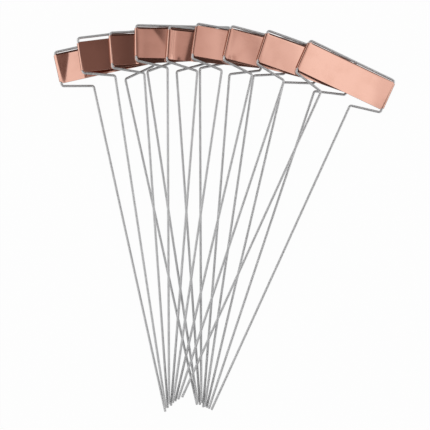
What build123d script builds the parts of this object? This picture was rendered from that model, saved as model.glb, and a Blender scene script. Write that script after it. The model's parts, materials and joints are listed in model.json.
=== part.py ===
from build123d import *
from math import acos, degrees, radians, sin, sqrt, tan
import os

# Nine plant label stakes fanned out on a table, in millimetres.
# Each stake is one bent wire and one copper plate whose rolled side edges slide on the wire.
# A stake is drawn flat on its own plane: x across the stake, y from its tips up to its head,
# z out of the front. The planes lean on each other like the cards of a fanned hand.

# Wire
wire_diameter = 1.6
bend_radius = 1.6  # to the centre line of the wire
frame_width = 63.5  # between the centre lines of the two side wires
frame_height = 23.3  # from the top bar's centre line down to the lower corners
shoulder_drop = 4.5  # from the lower corners down to the tops of the legs
leg_spacing = 21.8  # between the centre lines of the two legs
leg_length = 224.8
tip_chamfer = 0.25  # burr taken off the cut ends

# Plate
sheet_thickness = 0.3
hem_clearance = 0.05  # radial running clearance between a rolled hem and its wire
hem_slit = 0.4  # left between a hem's free edge and the back of the plate
plate_travel = 2.0  # free slide between the upper and the lower bends
stop_gap = 0.15  # left between a hem's end and the bend that stops it
bottom_lap = 1.5  # of the face below the hems, over the lower bends

# Fan, from the bottom stake on the left to the top one on the right
fan_angles = (12.4, 8.7, 4.1, 0.3, -4.4, -8.3, -13.1, -18.3, -24.4)  # degrees, heads leaning left
tip_radii = (13.6, 16.1, 14.9, 17.1, 14.8, 16.4, 16.6, 17.6, 18.6)  # tips to the fan's pivot
plate_slips = (0.2, 0.9, 0.15, 0.15, 0.3, 0.15, 0.25, 0.3, 0.15)  # share of the travel slipped down
tips_raised = (0, 1, 0, 1, 0, 1, 0, 1, 1)  # 1 where a pair of tips lies on its neighbours
stack_clearance = 0.3  # between one stake and the next above it

# Wire sizes that follow from those above
wire_radius = wire_diameter / 2
half_frame = frame_width / 2
half_legs = leg_spacing / 2
lower_corner = leg_length + shoulder_drop
top_bar = lower_corner + frame_height

# The straight stretch of each side wire, between its upper and its lower bend
shoulder_slope = Vector(half_frame - half_legs, shoulder_drop).get_angle(Vector(1, 0))
lower_bend_reach = bend_radius * tan(radians(90 - shoulder_slope) / 2)
side_bottom = lower_corner + lower_bend_reach
side_top = top_bar - bend_radius

# Plate sizes: the hems fill the straight stretch, less the travel, and the corners are clipped
# so that the top edge comes up to the bar while the hems stay clear of the bends
hem_bore = wire_radius + hem_clearance
hem_radius = hem_bore + sheet_thickness
hem_line = (hem_bore + hem_radius) / 2
hem_roll = 360 - degrees(acos((hem_bore - hem_slit) / hem_radius))
hem_top = side_top - stop_gap
hem_length = hem_top - side_bottom - stop_gap - plate_travel
top_lap = bend_radius - wire_radius

# How far one head lies above the next, and how far a raised pair of tips lies above its neighbours
layer = 2 * hem_radius + stack_clearance
steps = [radians(left - right) for left, right in zip(fan_angles, fan_angles[1:])]
tip_spacing = sin(min(steps)) * min(tip_radii)
tip_lift = sqrt((wire_diameter + stack_clearance) ** 2 - tip_spacing**2)


def fan_slopes():
    """How much each head rises across its width, to clear the right edge of the one below and its face."""
    rises = [0]
    for step, lower, upper in zip(steps, tip_radii, tip_radii[1:]):
        shift = sin(step) * (min(lower, upper) + lower_corner)
        over_edge = layer / shift
        over_face = (layer + rises[-1] * (frame_width - shift)) / frame_width
        rises.append(max(over_edge, over_face))
    return rises


slopes = fan_slopes()


def stake_plane(number, centre=Vector(0, 0, 0)):
    """A stake leans with its right edge on the table; the first lies flat."""
    slope = slopes[number]
    tip_rise = wire_radius + tips_raised[number] * tip_lift + slope * half_legs
    edge_rise = hem_radius + slope * half_frame
    pitch = (edge_rise - tip_rise) / side_bottom
    turn = fan_angles[number]
    foot = Vector(0, tip_radii[number], tip_rise).rotate(Axis.Z, turn) - centre
    across = Vector(1, 0, -slope).rotate(Axis.Z, turn)
    front = Vector(slope, -pitch, 1).rotate(Axis.Z, turn)
    return Plane(origin=foot, x_dir=across, z_dir=front)


def fan_centre():
    """The point of the table under the middle of the fan."""
    ends = [(half_frame, top_bar), (half_frame, lower_corner), (half_legs, 0)]
    ends += [(-x, y) for x, y in ends]
    planes = [stake_plane(number) for number in range(len(fan_angles))]
    reach = [plane.from_local_coords((x, y, 0)) for plane in planes for x, y in ends]
    across = [point.X for point in reach]
    along = [point.Y for point in reach]
    return Vector(min(across) + max(across), min(along) + max(along), 0) / 2


def make_wire(plane, name):
    """One length of wire: leg, shoulder, side, top bar and the same down the other side."""
    right_half = [
        (half_frame, top_bar),
        (half_frame, lower_corner),
        (half_legs, leg_length),
        (half_legs, 0),
    ]
    left_half = [(-x, y) for x, y in reversed(right_half)]
    with BuildPart() as wire_stake:
        with BuildLine(plane) as route:
            FilletPolyline(*left_half, *right_half, radius=bend_radius)
        with BuildSketch(Plane(origin=route.line @ 0, z_dir=route.line % 0)):
            Circle(wire_radius)
        sweep(path=route.line)
        cut_ends = wire_stake.faces().filter_by(GeomType.PLANE)
        chamfer(cut_ends.edges(), tip_chamfer)
    wire_stake.part.label = name
    export_step(wire_stake.part, f"parts/{name}.step")


def make_plate(plane, slip, name):
    """A flat face with clipped corners, its side edges rolled back round the side wires."""
    top = hem_top - slip * plate_travel
    half_hem = hem_length / 2
    hem_end = Plane(
        origin=plane.from_local_coords((0, top, 0)),
        x_dir=plane.x_dir,
        z_dir=-plane.y_dir,
    )
    back = Plane(
        origin=plane.from_local_coords((0, top - half_hem, hem_bore)),
        x_dir=plane.x_dir,
        z_dir=plane.z_dir,
    )
    right_edge = [
        (half_frame - top_lap, half_hem + top_lap),
        (half_frame, half_hem),
        (half_frame, -half_hem),
        (half_frame - bottom_lap, -half_hem - bottom_lap),
    ]
    left_edge = [(-x, y) for x, y in reversed(right_edge)]
    with BuildPart() as name_plate:
        with BuildSketch(hem_end):
            with BuildLine():
                Line((-half_frame, hem_line), (half_frame, hem_line))
                CenterArc((half_frame, 0), hem_line, 90, -hem_roll)
                CenterArc((-half_frame, 0), hem_line, 90, hem_roll)
            trace(line_width=sheet_thickness)
        extrude(amount=hem_length)
        with BuildSketch(back):
            with BuildLine():
                Polyline(*right_edge, *left_edge, close=True)
            make_face()
        extrude(amount=sheet_thickness)
    name_plate.part.label = name
    export_step(name_plate.part, f"parts/{name}.step")


os.makedirs("parts", exist_ok=True)
centre = fan_centre()
for number, slip in enumerate(plate_slips):
    plane = stake_plane(number, centre)
    make_wire(plane, f"wire_stake_{number + 1}")
    make_plate(plane, slip, f"name_plate_{number + 1}")
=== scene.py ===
# %% [markdown]
# # A fan of copper plant labels
# Each label is a stake bent from one length of steel wire, with a thin copper plate whose side edges are
# rolled round the wire. This lesson dresses the measured model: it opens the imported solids, replaces each
# flat plate by a sheet that is a little wavy, gives the copper and the wire their finishes, and sets up the
# table, the light and the camera. Everything is in metres, in the frame of the solids, so nothing has to be
# fitted by eye.

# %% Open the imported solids
import json
import math

import bmesh
import bpy
from mathutils import Matrix, Vector


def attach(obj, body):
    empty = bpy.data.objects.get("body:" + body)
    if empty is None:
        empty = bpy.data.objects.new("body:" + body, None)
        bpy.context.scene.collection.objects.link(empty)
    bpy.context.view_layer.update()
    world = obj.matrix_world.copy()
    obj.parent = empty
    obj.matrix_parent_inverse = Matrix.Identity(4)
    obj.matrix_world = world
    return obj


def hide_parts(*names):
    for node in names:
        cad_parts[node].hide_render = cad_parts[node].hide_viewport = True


MM = 0.001
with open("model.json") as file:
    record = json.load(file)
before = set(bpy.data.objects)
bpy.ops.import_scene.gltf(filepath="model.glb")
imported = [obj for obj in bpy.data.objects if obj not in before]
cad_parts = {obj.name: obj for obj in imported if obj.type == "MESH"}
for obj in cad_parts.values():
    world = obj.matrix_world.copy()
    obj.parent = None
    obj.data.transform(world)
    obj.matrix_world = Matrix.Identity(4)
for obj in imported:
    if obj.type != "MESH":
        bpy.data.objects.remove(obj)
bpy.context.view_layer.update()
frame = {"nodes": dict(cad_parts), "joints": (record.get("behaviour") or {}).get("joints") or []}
numbers = range(1, len(frame["joints"]) + 1)

# %% [markdown]
# ## Shader maths as Python
# A finish is a tree of nodes. Written node by node it is hard to read, so two small classes help: a Signal is
# one output of a node and understands plus, minus, times and divide, and a Finish adds any node from its
# type, its settings and what goes into its sockets. `1 - mask` then makes a Math node by itself.


# %% Signals and finishes
class Signal:
    """One output of a node, ready to be used in an expression."""

    def __init__(self, finish, socket):
        self.finish = finish
        self.socket = socket

    def math(self, operation, first, second):
        return self.finish.add("ShaderNodeMath", {"operation": operation}, {0: first, 1: second})

    def __add__(self, other):
        return self.math("ADD", self, other)

    def __sub__(self, other):
        return self.math("SUBTRACT", self, other)

    def __rsub__(self, other):
        return self.math("SUBTRACT", other, self)

    def __mul__(self, other):
        return self.math("MULTIPLY", self, other)

    def __truediv__(self, other):
        return self.math("DIVIDE", self, other)

    __radd__ = __add__
    __rmul__ = __mul__


# A Mix node has sockets for every kind of value. These are the ones for colours.
MIX_FIRST, MIX_SECOND, MIX_RESULT = 6, 7, 2


class Finish:
    """The node tree of a material or a world, filled node by node."""

    def __init__(self, owner):
        owner.use_nodes = True
        self.owner = owner
        self.tree = owner.node_tree
        self.tree.nodes.clear()

    def add(self, kind, settings=None, sockets=None, output=0):
        """Adds a node and gives one of its outputs."""
        node = self.tree.nodes.new(kind)
        for name, value in (settings or {}).items():
            if name == "stops":
                ramp = node.color_ramp.elements
                while len(ramp) < len(value):
                    ramp.new(1.0)
                for element, (place, colour) in zip(ramp, value):
                    element.position = place
                    element.color = (*colour, 1.0)
            else:
                setattr(node, name, value)
        for name, value in (sockets or {}).items():
            if isinstance(value, Signal):
                self.tree.links.new(value.socket, node.inputs[name])
            else:
                node.inputs[name].default_value = value
        return Signal(self, node.outputs[output]) if node.outputs else None

    def mix(self, factor, first, second):
        """Goes from one colour to another, as the factor goes from 0 to 1."""
        sockets = {"Factor": factor, MIX_FIRST: first, MIX_SECOND: second}
        return self.add("ShaderNodeMix", {"data_type": "RGBA"}, sockets, output=MIX_RESULT)

    def smooth_step(self, value, start, end):
        """0 before start, 1 after end, and a soft change between them."""
        sockets = {"Value": value, "From Min": start, "From Max": end}
        return self.add("ShaderNodeMapRange", {"interpolation_type": "SMOOTHSTEP"}, sockets)

    def band(self, value, start, full, fade, end):
        """1 from full to fade, 0 before start and after end, and a soft change on both sides."""
        return self.smooth_step(value, start, full) * (1 - self.smooth_step(value, fade, end))

    def close(self, shader, output="ShaderNodeOutputMaterial"):
        """Shows the shader on the surface, and gives the material or world."""
        self.add(output, None, {"Surface": shader})
        return self.owner


# %% [markdown]
# ## Where each plate lies
# The plates lean on one another like fanned cards, so each has its own directions. They needn't be typed in:
# the slide joint runs along the stake, and the widest facet of the plate's solid faces its front. With those
# two directions and the solid's extent, a plate can be drawn flat and then put in its place by one matrix.

# %% Read the plates' places from the solids
facing_up = 0.5


def plate_place(number):
    """A plate's matrix and half sizes: x runs across the stake, y up to its head and z out of its front."""
    joint = next(row for row in frame["joints"] if row["child"] == f"plate_{number}")
    mesh = frame["nodes"][f"name_plate_{number}"].data
    along = Vector(joint["axis"]).normalized()
    upper_faces = (face for face in mesh.polygons if face.normal.z > facing_up)
    front = max(upper_faces, key=lambda face: face.area).normal
    across = along.cross(front).normalized()
    front = across.cross(along)
    middle, half = Vector(), []
    for axis in (across, along, front):
        reach = [vertex.co.dot(axis) for vertex in mesh.vertices]
        middle += axis * (min(reach) + max(reach)) / 2
        half.append((max(reach) - min(reach)) / 2)
    matrix = Matrix((across, along, front)).transposed().to_4x4()
    matrix.translation = middle
    return matrix, half


places = {number: plate_place(number) for number in numbers}
for number, (matrix, half) in places.items():
    print("plate", number, "half sizes in mm:", [round(side / MM, 3) for side in half])

# %% [markdown]
# ## How each sheet is bent
# A perfectly flat plate would mirror a single spot of the room and look like plastic. Real sheet is a little
# wavy, and it doesn't turn sharply at the wire: it starts to turn a little before it, most of all low down.
# On some plates the roller left a ridge there, and the shears rolled the top edge over. A plate that goes
# under its neighbour dips along its neighbour's lower edge, and a few took a crease, a dent or a twist in the
# hand. All this could be sculpted, but a height given by a formula is exact and easy to change. These are the
# only shapes of the lesson that are given plate by plate, in millimetres and radians.

# %% Two helpers for soft shapes


def smooth(share):
    """0 below 0, 1 above 1, and a soft change between them."""
    share = min(1.0, max(0.0, share))
    return share * share * (3 - 2 * share)


def soft_bend(distance, softness):
    """Height of a sheet bent by one radian about the line where distance is 0, with a soft crease."""
    return max(distance, 0.0) + softness * math.log1p(math.exp(-abs(distance) / softness))


print("a soft crease stands off by", round(soft_bend(0.0, 1.0), 3), "of its softness")

# %% The turn towards the hems, and the sheared top edge
ease_width = 0.9
ease_spread = 0.02
ease_rise = {1: 0.045, 4: 0.0}
usual_rise = 0.03
shear_width = 0.9
shear_softness = 0.1
shear_fade = 2.0
shear_slope = {2: 0.0, 6: 0.04, 8: 0.15, 9: 0.14}
usual_shear = 0.11


def edge_height(number, y, inside, high):
    """The face's height near its edges, by the distances to the hem and to the top edge."""
    ease = min(1.0, inside / (ease_width * (1 - ease_spread * y)))
    slope = shear_slope.get(number, usual_shear)
    shear = slope * soft_bend(y - high + shear_width, shear_softness) * smooth(inside / shear_fade)
    return ease_rise.get(number, usual_rise) * ease * (2 - ease) - shear


print("top edges left straight:", [number for number in numbers if shear_slope.get(number) == 0])

# %% Ridges, twists, creases and dents
ridge_top = -30.2
ridge_top_softness = 0.3
ridge_foot = -27.6
ridge_foot_softness = 0.6
ridge_slope = {4: 0.015, 5: 0.08, 7: 0.01}
twists = {7: -0.0005}
# A crease: its angle, where it crosses the plate's middle, its tilt and its softness.
creases = {
    1: ((-0.022, -30.9, -0.12, 0.3), (0.052, -25.2, 0.34, 0.7), (-0.03, -8.0, 0.0, 3.0)),
    3: ((0.004, -25.0, 0.0, 3.0), (-0.008, 0.0, 0.0, 3.0)),
    4: ((0.024, -14.9, -0.66, 0.6), (-0.04, -6.0, 0.0, 2.0)),
    5: ((0.008, -27.5, 0.0, 1.0), (0.054, -18.6, 0.12, 1.4), (-0.08, -6.0, 0.0, 2.0)),
    7: ((0.009, -26.0, 0.0, 2.0),),
    8: ((-0.012, -31.3, 0.0, 0.4), (0.016, -22.0, 0.0, 4.0)),
    9: ((-0.016, -31.0, 0.0, 0.4), (0.016, -14.0, 0.0, 4.0)),
}
# A dent: its place across and along the plate, its half width and half length, and its depth.
dents = {5: (-26.1, -9.6, 1.8, 1.7, 0.07), 7: (-26.7, -9.4, 1.4, 1.5, 0.065)}
# All of them lie on the left part of a plate, and run out over its right part.
bend_run_out = 27.0


def bent_height(number, x, y):
    """The face's height where the roller or a hand bent it."""
    ridge = soft_bend(x - ridge_foot, ridge_foot_softness) - soft_bend(x - ridge_top, ridge_top_softness)
    bent = ridge * ridge_slope.get(number, 0) + twists.get(number, 0) * (x - ridge_top) * y
    for angle, place, tilt, softness in creases.get(number, ()):
        bent += angle * soft_bend(x - place - tilt * y, softness)
    if number in dents:
        across, along, half_width, half_length, depth = dents[number]
        away = ((x - across) / half_width) ** 2 + ((y - along) / half_length) ** 2
        bent -= depth * math.exp(-away / 2)
    return bent * (1 - smooth(x / bend_run_out))


print("creased plates:", list(creases), "dented plates:", list(dents), "twisted plates:", list(twists))

# %% The dip along the neighbour's lower edge
dip_width = 1.3
dip_softness = 0.15
dip_slope = {1: 0.055, 2: 0.09, 3: 0.085, 4: 0.08, 5: 0.095, 6: 0.095, 7: 0.075, 8: 0.07}
dip_end = {6: 1.5, 7: 1.2, 8: 1.1}
usual_end = 5.0
# A dip starts under its neighbour's hem, and ends short of its own right hem, so that it clears the wire.
dip_start = 0.2
dip_fade = 0.8
dip_margin = 4.0
dip_run_out = 3.0


def cover_line(number):
    """The next plate's lower edge over this one: its left end, in millimetres, and its direction."""
    upper, (half_across, half_along, hem_radius) = places[number + 1]
    onto = places[number][0].inverted() @ upper
    left = onto @ Vector((hem_radius - half_across, -half_along, 0))
    right = onto @ Vector((half_across - hem_radius, -half_along, 0))
    return left.xy / MM, (right - left).xy.normalized()


covers = {number: cover_line(number) for number in dip_slope}
print("plates are covered from, in mm:", [round(left.x, 1) for left, edge in covers.values()])


def dip_depth(number, x, y, inside):
    """How far the face dips where the next plate covers it."""
    if number not in covers:
        return 0.0
    left, edge = covers[number]
    below = (x - left.x) * edge.y - (y - left.y) * edge.x
    depth = soft_bend(below + dip_width, dip_softness)
    depth -= soft_bend(below - dip_end.get(number, usual_end), dip_softness)
    depth = depth * dip_slope[number] * smooth((x - left.x - dip_start) / dip_fade)
    return depth * smooth((inside - dip_margin) / dip_run_out)


# %% Waves, and the whole height
# A wave: its height, its turn for each millimetre across and along the plate, and its shift by plate.
waves = ((0.006, 0.16, 0.11, 1.9), (0.004, 0.07, -0.24, 0.8))
wave_fade = 4.0


def sheet_height(number, x, y, inside, high):
    """How far a plate's face stands off flat, in millimetres, at a place given in millimetres."""
    wavy = 0.0
    for height, across, along, shift in waves:
        wavy += height * math.sin(across * x + along * y + shift * number)
    rise = edge_height(number, y, inside, high) - dip_depth(number, x, y, inside)
    return wavy * smooth(inside / wave_fade) + rise + bent_height(number, x, y)


print("waves in mm:", [height for height, *turns in waves])

# %% [markdown]
# ## The copper plates
# A plate is a thin sheet, guillotined, its corners clipped and its two side edges rolled round the wire. A
# flat box with tubes at its sides would look the same from far off, but not at the hems. So the sheet is
# drawn as one grid, as it was one piece of metal: its columns walk round one hem, over the face and round
# the other hem, and its face is pushed up and down by the heights above, by tenths of a millimetre at most.

# %% The sheet's sizes
sheet_thickness = 0.3 * MM
top_lap = 0.8 * MM
bottom_lap = 1.5 * MM
hem_slit = 0.4 * MM
hem_steps = 22
clip_steps = 15
face_steps = 90
row_steps = 32
# Shares of the plate's height and of the hem's radius: the narrow row along an edge, and where the hem's
# painted shade starts.
edge_row = 0.006
hem_shade_from = 0.72
# Which finish a face of the grid takes: the polished face, or the painted shade of a hem's outer flank.
face_finish = 0
shaded_hem_finish = 2


def sheet_columns(half_width, roll):
    """The sheet's section from one free edge to the other: x, z and whether the column is on the face."""
    bore = roll - sheet_thickness / 2
    sweep = 2 * math.pi - math.acos((bore - hem_slit) / (roll + sheet_thickness / 2))
    hem = [math.pi / 2 + sweep * step / hem_steps for step in range(hem_steps, 0, -1)]
    left = [(-half_width + roll * math.cos(turn), roll * math.sin(turn), False) for turn in hem]
    flat = half_width - bottom_lap
    edge = [half_width - bottom_lap * step / clip_steps for step in range(clip_steps)]
    middle = [-flat + 2 * flat * step / face_steps for step in range(face_steps + 1)]
    face = [-x for x in edge] + middle + edge[::-1]
    right = [(-x, z, on_face) for x, z, on_face in reversed(left)]
    return left + [(x, roll, True) for x in face] + right


print("columns of a sheet:", 2 * (hem_steps + clip_steps) + face_steps + 1)

# %% Draw the sheet as a grid


def sheet_mesh(number):
    """One plate's sheet without its thickness, drawn flat and put in its place, with its unrolled map."""
    matrix, (half_across, half_along, hem_radius) = places[number]
    roll = hem_radius - sheet_thickness / 2
    half_width = half_across - hem_radius
    flank = half_width + roll * hem_shade_from
    shares = [0, edge_row, *(row / row_steps for row in range(1, row_steps)), 1 - edge_row, 1]
    grid = bmesh.new()
    unrolled = grid.loops.layers.uv.new("unrolled")
    flat_place = {}
    columns = []
    length = 0.0
    before = None
    for x, z, on_face in sheet_columns(half_width, roll):
        length += math.dist(before or (x, z), (x, z))
        before = (x, z)
        inside = half_width - abs(x) if on_face else 0
        high = half_along - top_lap + min(top_lap, inside)
        low = bottom_lap - half_along - min(bottom_lap, inside)
        column = []
        for share in shares:
            y = low + (high - low) * share
            lift = sheet_height(number, x / MM, y / MM, inside / MM, high / MM) * MM if on_face else 0
            vertex = grid.verts.new((x, y, z + lift))
            flat_place[vertex] = (length, y)
            column.append(vertex)
        columns.append(column)
    for left, right in zip(columns, columns[1:]):
        for row in range(len(left) - 1):
            face = grid.faces.new((left[row], right[row], right[row + 1], left[row + 1]))
            face.smooth = True
            farthest = max(abs(left[row].co.x), abs(right[row].co.x))
            face.material_index = shaded_hem_finish if farthest > flank else face_finish
            for corner in face.loops:
                corner[unrolled].uv = flat_place[corner.vert]
    grid.transform(matrix)
    sheet = bpy.data.meshes.new(f"copper_plate_{number}")
    grid.to_mesh(sheet)
    grid.free()
    return sheet


sheets = {number: sheet_mesh(number) for number in numbers}
print("sheets:", len(sheets), "with", len(sheets[1].polygons), "grid faces each")

# %% [markdown]
# The grid has no thickness yet. Two modifiers turn it into metal: Solidify gives both sides and the cut
# edges, with the next finish in the list on the back of the face, and Bevel takes the sharpness off the cut
# edges, as a tumbler does. Each plate then rides on its own slide in place of its flat solid.

# %% Thicken the sheets and set them on their slides
edge_round = 0.06 * MM
edge_steps = 2
edge_angle = math.radians(60)


def copper_plate(number):
    """One plate: a sheet thickened into metal with slightly rounded edges."""
    plate = bpy.data.objects.new(sheets[number].name, sheets[number])
    bpy.context.scene.collection.objects.link(plate)
    thick = plate.modifiers.new("sheet", "SOLIDIFY")
    thick.thickness = sheet_thickness
    thick.offset = 0
    # The back takes the next finish in the list; behind the face that is the dark brown painted shade.
    thick.material_offset = 1
    rounding = plate.modifiers.new("edge", "BEVEL")
    rounding.width = edge_round
    rounding.segments = edge_steps
    rounding.limit_method = "ANGLE"
    rounding.angle_limit = edge_angle
    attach(plate, f"plate_{number}")
    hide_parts(f"name_plate_{number}")
    return plate


plates = {number: copper_plate(number) for number in numbers}
print("copper plates:", len(plates))

# %% [markdown]
# ## Copper
# Rolled copper is a bright metal that takes fine lines along the way it was rolled, and dull clouds where it
# was handled. A metal has no colour but that of its mirror, so the base colour is the copper's own pink and
# the roughness carries the handling marks. The back is rougher, and painted dark brown as painted shade:
# mirrored in the plate below, it makes the dark shadow line under each plate. The outer flanks of the hems
# are a darker copper, painted shade for the dark side of each roll. One recipe makes all three.

# %% The copper finishes
line_scale = (60, 4000, 4000)
line_detail = 3.0
line_strength = 0.12
line_depth = 0.01 * MM
cloud_scale = 90.0
cloud_detail = 4.0
cloud_range = (0.42, 0.72)
cloud_share = 0.55


def copper_finish(name, clean, handled, rough, spread):
    """Copper with rolling lines and handling clouds; each adds up to the spread to its roughness."""
    finish = Finish(bpy.data.materials.new(name))
    place = finish.add("ShaderNodeUVMap", {"uv_map": "unrolled"})
    random = finish.add("ShaderNodeObjectInfo", output="Random")
    offset = finish.add("ShaderNodeCombineXYZ", None, {0: random, 1: random, 2: random})
    place = finish.add("ShaderNodeVectorMath", {"operation": "ADD"}, {0: place, 1: offset})
    drawn_out = finish.add("ShaderNodeVectorMath", {"operation": "MULTIPLY"}, {0: place, 1: line_scale})
    sockets = {"Vector": drawn_out, "Scale": 1.0, "Detail": line_detail}
    lines = finish.add("ShaderNodeTexNoise", None, sockets)
    sockets = {"Vector": place, "Scale": cloud_scale, "Detail": cloud_detail}
    clouds = finish.add("ShaderNodeTexNoise", None, sockets)
    marks = finish.smooth_step(clouds, *cloud_range)
    bump = {"Strength": line_strength, "Distance": line_depth, "Height": lines}
    sockets = {
        "Base Color": finish.mix(marks * cloud_share, (*clean, 1), (*handled, 1)),
        "Metallic": 1.0,
        "Roughness": rough + marks * spread + lines * spread,
        "Normal": finish.add("ShaderNodeBump", None, bump),
    }
    return finish.close(finish.add("ShaderNodeBsdfPrincipled", None, sockets))


polished = copper_finish(
    "polished_copper", clean=(0.93, 0.55, 0.44), handled=(0.89, 0.51, 0.40), rough=0.06, spread=0.03
)
# Painted shade: a dark brown back, which the plate below mirrors as a dark shadow line.
painted_shade_back = copper_finish(
    "mill_copper", clean=(0.24, 0.10, 0.07), handled=(0.16, 0.07, 0.05), rough=0.45, spread=0.10
)
# Painted shade: a darker copper on the hems' outer flanks, for the dark side of each roll.
painted_shade_hem = copper_finish(
    "scuffed_copper", clean=(0.44, 0.23, 0.17), handled=(0.38, 0.20, 0.15), rough=0.30, spread=0.06
)
for plate in plates.values():
    for material in (polished, painted_shade_back, painted_shade_hem):
        plate.data.materials.append(material)
print("copper nodes:", len(polished.node_tree.nodes))

# %% [markdown]
# ## Zinc-coated wire
# The wire is steel with a thin coat of zinc. Drawing it through a die leaves faint lines, and the coat is
# slightly blotchy. The wire is already round and bent in the solids, so it needs no new shape, only a
# finish: two noises let its grey and its roughness wander a little along the wire.

# %% The wire's finish
bright_zinc = (0.73, 0.735, 0.74, 1)
dull_zinc = (0.69, 0.695, 0.70, 1)
zinc_rough = 0.38
blotch_scale = 260.0
blotch_detail = 3.0
blotch_range = (0.38, 0.68)
blotch_rough = 0.05
grain_scale = 900.0
grain_detail = 2.0
grain_rough = 0.02
grain_strength = 0.06
grain_depth = 0.02 * MM


def wire_finish():
    """Dull bright metal with blotches and a fine grain."""
    finish = Finish(bpy.data.materials.new("zinc_wire"))
    place = finish.add("ShaderNodeTexCoord", output="Object")
    sockets = {"Vector": place, "Scale": blotch_scale, "Detail": blotch_detail}
    blotches = finish.add("ShaderNodeTexNoise", None, sockets)
    sockets = {"Vector": place, "Scale": grain_scale, "Detail": grain_detail}
    grain = finish.add("ShaderNodeTexNoise", None, sockets)
    dull = finish.smooth_step(blotches, *blotch_range)
    bump = {"Strength": grain_strength, "Distance": grain_depth, "Height": grain}
    sockets = {
        "Base Color": finish.mix(dull, bright_zinc, dull_zinc),
        "Metallic": 1.0,
        "Roughness": zinc_rough + dull * blotch_rough + grain * grain_rough,
        "Normal": finish.add("ShaderNodeBump", None, bump),
    }
    return finish.close(finish.add("ShaderNodeBsdfPrincipled", None, sockets))


zinc = wire_finish()
for number in numbers:
    mesh = frame["nodes"][f"wire_stake_{number}"].data
    mesh.materials.clear()
    mesh.materials.append(zinc)
print("wire stakes finished:", len(numbers))

# %% [markdown]
# ## The table
# The labels lie on a plain white table. A painted one would need more light to come out white than the
# labels can take. So to the camera it mostly glows, in the copper it glows a little, and the rest is plain
# paint, which keeps the labels' shadows.

# %% The white table
table_half = 4.0
table_drop = 0.1 * MM
table_white = 0.92
seen_glow = 0.97
mirrored_glow = 0.25


def grey(level):
    """An even grey, as a colour socket takes it."""
    return (level, level, level, 1)


def flat_sheet(name, half_width, half_length, height):
    """A level rectangle that isn't part of the object."""
    corners = ((-1, -1), (1, -1), (1, 1), (-1, 1))
    mesh = bpy.data.meshes.new(name)
    mesh.from_pydata([(x * half_width, y * half_length, height) for x, y in corners], [], [(0, 1, 2, 3)])
    sheet = bpy.data.objects.new(name, mesh)
    bpy.context.scene.collection.objects.link(sheet)
    return sheet


table = flat_sheet("table", table_half, table_half, -table_drop)
finish = Finish(bpy.data.materials.new("white_table"))
paint = finish.add("ShaderNodeBsdfDiffuse", None, {"Color": grey(table_white)})
glow = finish.add("ShaderNodeEmission", None, {"Color": grey(1.0), "Strength": 1.0})
seen = finish.add("ShaderNodeLightPath", output="Is Camera Ray")
mirrored = finish.add("ShaderNodeLightPath", output="Is Glossy Ray")
share = seen * seen_glow + mirrored * mirrored_glow
surface = finish.add("ShaderNodeMixShader", None, {0: share, 1: paint, 2: glow})
table.data.materials.append(finish.close(surface))
print("table:", [round(side, 2) for side in table.dimensions])

# %% [markdown]
# ## The panel over the table
# Copper only looks like copper when it has something to mirror, and that is a long panel overhead. It could
# be a set of lamps and flags, but one sheet with cloths of different greys is easier to follow. Over the
# heads it runs from white through dark cloth to pale cloth, with a white strip let into the dark: the plates
# that lean towards the dark go brown, and the ones that lean past it go pink. Before and behind that it is
# dark, over the legs it is pale, so that the wires shine, and far out it is grey, so that the plates don't
# go black when they are seen at a slant.

# %% The panel's cloths
panel_height = 0.72
panel_half = 0.62
panel_half_length = 5.0
# A stop: its place across the panel, in metres, and its grey.
panel_stops = (
    (-0.62, 1.0), (-0.40, 1.0), (-0.216, 0.88), (-0.208, 0.15), (0.075, 0.18), (0.095, 0.105), (0.117, 0.105),
    (0.121, 0.47), (0.155, 0.52), (0.19, 0.60), (0.208, 0.70), (0.222, 0.80), (0.240, 0.48), (0.250, 0.41),
    (0.257, 0.86), (0.285, 0.82), (0.295, 1.0), (0.355, 1.0), (0.375, 0.86),
)
dark_cloth = 0.045
strip_cloth = 0.75
leg_cloth = 0.8
far_cloth = 0.45
# How much green and blue a light loses as it is dimmed.
browning = (0.0, 0.35, 0.42)
# Where the cloths start and end, in metres across or along the panel. The heads' part starts sooner on the
# right.
right_start = (0.20, 0.26)
strip_across = (-0.145, -0.135, 0.02, 0.03)
strip_end = (0.20, 0.215)
heads_start = (0.108, 0.130)
heads_end = (0.27, 0.29)
heads_sooner = 0.06
legs_along = (-0.34, -0.28, -0.09, 0.06)
near_along = (-0.95, -0.60, 0.42, 0.56)


def warm(level):
    """A light's colour: the dimmer it is, the browner."""
    return tuple(level * (1 - share * (1 - level)) for share in browning)


print("panel stops:", len(panel_stops))

# %% Hang the panel
panel = flat_sheet("light_panel", panel_half, panel_half_length, panel_height)
panel.visible_camera = False
finish = Finish(bpy.data.materials.new("panel_cloth"))
place = finish.add("ShaderNodeTexCoord", output="Object")
across = finish.add("ShaderNodeSeparateXYZ", None, {0: place}, output=0)
along = finish.add("ShaderNodeSeparateXYZ", None, {0: place}, output=1)
stops = [((x / panel_half + 1) / 2, warm(level)) for x, level in panel_stops]
cloth = finish.add("ShaderNodeValToRGB", {"stops": stops}, {0: across / (2 * panel_half) + 0.5})
right_part = finish.smooth_step(across, *right_start)
strip = finish.band(across, *strip_across) * (1 - finish.smooth_step(along, *strip_end))
over_heads = finish.smooth_step(along + right_part * heads_sooner, *heads_start)
over_heads = over_heads * (1 - finish.smooth_step(along, *heads_end))
over_legs = finish.band(along, *legs_along) * (1 - right_part)
far_away = 1 - finish.band(along, *near_along)
cloth = finish.mix(strip, cloth, grey(strip_cloth))
cloth = finish.mix(over_heads, (*warm(dark_cloth), 1), cloth)
cloth = finish.mix(over_legs, cloth, grey(leg_cloth))
cloth = finish.mix(far_away, cloth, grey(far_cloth))
glow = finish.add("ShaderNodeEmission", None, {"Color": cloth, "Strength": 1.0})
panel.data.materials.append(finish.close(glow))
print("panel nodes:", len(panel.data.materials[0].node_tree.nodes))

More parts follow.
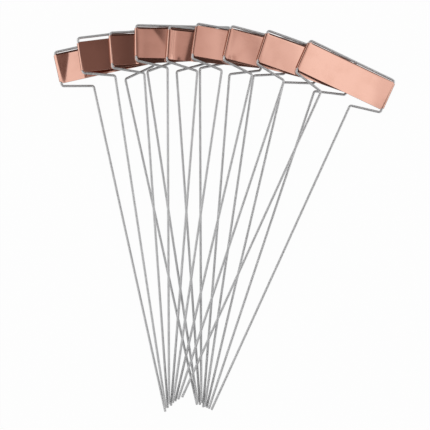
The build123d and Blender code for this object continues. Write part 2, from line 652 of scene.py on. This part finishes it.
# %% [markdown]
# ## The white cards
# The hems and the round wires also mirror what stands beside them. Two white cards, as on a table-top set,
# give each hem its bright line.

# %% The two white cards
card_away = 0.66
card_half_length = 0.20
card_middle = 0.17
card_height = 0.50
card_light = 1.1


def white_card(name, x):
    """A white card that stands on its long edge beside the labels' heads."""
    card = flat_sheet(name, card_height / 2, card_half_length, 0.0)
    card.rotation_euler.y = math.radians(90)
    card.location = (x, card_middle, card_height / 2)
    card.visible_camera = False
    return card


finish = Finish(bpy.data.materials.new("white_card"))
glow = finish.add("ShaderNodeEmission", None, {"Color": grey(1.0), "Strength": card_light})
card_white = finish.close(glow)
for name, x in (("left_card", -card_away), ("right_card", card_away)):
    white_card(name, x).data.materials.append(card_white)
print("cards:", card_away, "m to each side")

# %% [markdown]
# ## The side lights
# The room is dim but for a large soft light on the left and on the right. Lamps would do, but the wire would
# mirror their edges as hard lines, so the world itself is lit there, with soft borders. The camera sees plain
# white instead, past the end of the table.

# %% The two side lights
side_light = 1.0
room_light = 0.06
# Where the lights start, as shares of a direction's length: sideways, and up from the table.
lit_sideways = (0.3, 0.65)
lit_upward = (-0.05, 0.2)
finish = Finish(bpy.data.worlds.new("studio"))
toward = finish.add("ShaderNodeTexCoord", output="Generated")
sideways = finish.add("ShaderNodeSeparateXYZ", None, {0: toward}, output=0)
sideways = finish.add("ShaderNodeMath", {"operation": "ABSOLUTE"}, {0: sideways})
upward = finish.add("ShaderNodeSeparateXYZ", None, {0: toward}, output=2)
lit = finish.smooth_step(sideways, *lit_sideways) * finish.smooth_step(upward, *lit_upward)
level = room_light + lit * (side_light - room_light)
studio = finish.add("ShaderNodeBackground", None, {"Color": grey(1.0), "Strength": level})
backdrop = finish.add("ShaderNodeBackground", None, {"Color": grey(1.0), "Strength": 1.0})
seen = finish.add("ShaderNodeLightPath", output="Is Camera Ray")
surface = finish.add("ShaderNodeMixShader", None, {0: seen, 1: studio, 2: backdrop})
bpy.context.scene.world = finish.close(surface, "ShaderNodeOutputWorld")
bpy.context.scene.view_settings.view_transform = "Standard"
print("side light:", side_light, "room light:", room_light)

# %% [markdown]
# ## Camera
# The photograph was taken from straight above, so the camera looks down the frame's Z axis with +Y up in the
# picture. It stands about as far off as a table-top camera does: near enough that each plate is seen at a
# slightly different angle, which is part of why no two of them mirror the same thing.

# %% Look straight down
camera_place = (-6.46 * MM, 2.74 * MM)
camera_height = 0.7
picture_side = 0.29023
sensor_width = 36.0
camera_data = bpy.data.cameras.new("table_top_camera")
camera_data.sensor_width = sensor_width
camera_data.lens = sensor_width * camera_height / picture_side
camera = bpy.data.objects.new("table_top_camera", camera_data)
camera.location = (*camera_place, camera_height)
bpy.context.scene.collection.objects.link(camera)
bpy.context.scene.camera = camera
print("lens in mm:", round(camera_data.lens, 1))
